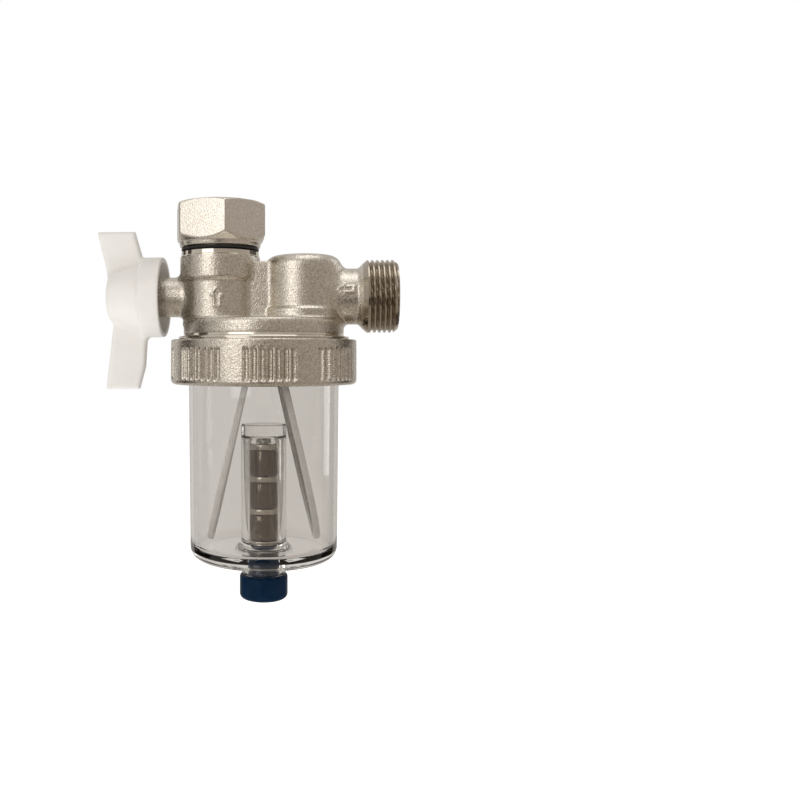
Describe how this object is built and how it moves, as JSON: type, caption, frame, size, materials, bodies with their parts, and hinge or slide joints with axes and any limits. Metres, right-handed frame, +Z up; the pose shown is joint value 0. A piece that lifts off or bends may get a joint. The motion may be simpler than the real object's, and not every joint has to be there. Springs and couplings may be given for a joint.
{
  "type": "magnetic system filter",
  "caption": "Under-boiler magnetic filter: nickel brass head with ball valve and union nut, threaded port, clear bowl, mesh screens and pull-out magnet cartridge.",
  "frame": {"origin": "centre of the union gasket's upper face, where the boiler's pipe end seats, on the valve's axis", "axes": "+X along the inlet port, pointing out of it; +Z up along the valve, pointing to the boiler; -Y is the front"},
  "size_m": [0.1107, 0.0678, 0.1446],
  "materials": {
    "cast_nickel": "nickel-plated, sand-blasted cast brass",
    "turned_nickel": "nickel-plated, turned brass",
    "turned_brass": "turned brass",
    "chromed_ball": "polished chrome",
    "seat_plastic": "white low-friction plastic",
    "black_rubber": "moulded",
    "fibre_gasket": "pressed fibre",
    "white_plastic": "satin moulded",
    "zinc_screw": "zinc-plated",
    "clear_plastic": "clear moulded plastic",
    "frame_plastic": "natural moulded plastic",
    "screen_steel": "woven stainless wire",
    "magnet_nickel": "bright nickel plate",
    "pole_steel": "polished steel",
    "blue_plastic": "dark blue moulded plastic"
  },
  "bodies": {
    "head": {"filter_head": "cast_nickel", "union_spigot": "turned_nickel", "union_gasket": "fibre_gasket", "nut_retaining_ring": "black_rubber", "ball_seat_upper": "seat_plastic", "ball_seat_lower": "seat_plastic", "gland_nut": "turned_nickel", "bowl_seal": "black_rubber", "strainer_frame": "frame_plastic", "strainer_mesh_left": "screen_steel", "strainer_mesh_right": "screen_steel"},
    "swivel_nut": {"union_nut": "cast_nickel"},
    "valve_rotor": {"ball": "chromed_ball", "valve_stem": "turned_brass", "stem_o_ring_1": "black_rubber", "stem_o_ring_2": "black_rubber", "handle": "white_plastic", "handle_screw": "zinc_screw"},
    "bowl": {"bowl": "clear_plastic", "slip_ring": "seat_plastic"},
    "clamp_ring": {"ring_nut": "cast_nickel"},
    "cartridge": {"cartridge_cap": "blue_plastic", "cap_o_ring": "black_rubber", "cartridge_screw": "zinc_screw", "magnet_1": "magnet_nickel", "magnet_2": "magnet_nickel", "magnet_3": "magnet_nickel", "pole_plate_1": "pole_steel", "pole_plate_2": "pole_steel", "pole_plate_3": "pole_steel", "pole_plate_4": "pole_steel"}
  },
  "joints": [
    {"name": "handle_turn", "type": "hinge", "parent": "head", "child": "valve_rotor", "pos_m": [0, 0, -0.0249], "axis": [1, 0, 0], "range_deg": [0, 90]},
    {"name": "union_nut_spin", "type": "hinge", "parent": "head", "child": "swivel_nut", "pos_m": [0, 0, 0], "axis": [0, 0, 1], "continuous": true},
    {"name": "bowl_drop", "type": "slide", "parent": "head", "child": "bowl", "axis": [0, 0, -1], "range_m": [0, 0.085]},
    {"name": "ring_nut_turn", "type": "hinge", "parent": "bowl", "child": "clamp_ring", "pos_m": [0.0161, 0, -0.0488], "axis": [0, 0, 1], "continuous": true},
    {"name": "magnet_pull", "type": "slide", "parent": "bowl", "child": "cartridge", "axis": [0, 0, -1], "range_m": [0, 0.062]}
  ]
}
